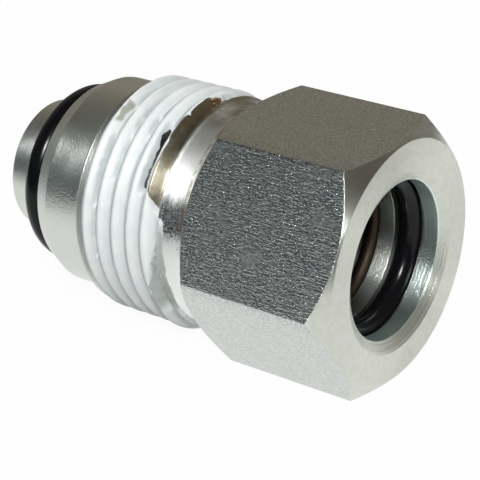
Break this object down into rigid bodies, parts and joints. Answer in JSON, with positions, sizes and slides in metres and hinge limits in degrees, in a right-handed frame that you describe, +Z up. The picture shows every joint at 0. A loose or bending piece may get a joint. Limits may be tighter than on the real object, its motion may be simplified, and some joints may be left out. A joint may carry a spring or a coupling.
{
  "type": "quick connect coupling",
  "caption": "Straight quick connect coupling: hexagon body with a bored socket that an O-ring seals, an external straight thread coated in sealant, and a nose with its own O-ring.",
  "frame": {"origin": "bottom centre of the bounding box: under the axis, midway between the mouth's face and the nose's tip, at the height of the hexagon flat that the part lies on", "axes": "+X along the axis and out of the socket's mouth, +Z up and square to the hexagon's top and bottom flats, Y across the hexagon's corners; the axis is 13.5 mm above the origin"},
  "size_m": [0.048, 0.031, 0.027],
  "materials": {
    "plated_steel": "zinc plated and passivated, satin, with fine turning marks",
    "black_rubber": "smooth, slightly glossy",
    "spring_steel": "dark, lightly oiled",
    "white_paste": "dried white paste, matt and uneven"
  },
  "bodies": {
    "root": {"body": "plated_steel", "socket_o_ring": "black_rubber", "nose_o_ring": "black_rubber", "retaining_ring": "spring_steel", "thread_sealant": "white_paste"}
  },
  "joints": []
}
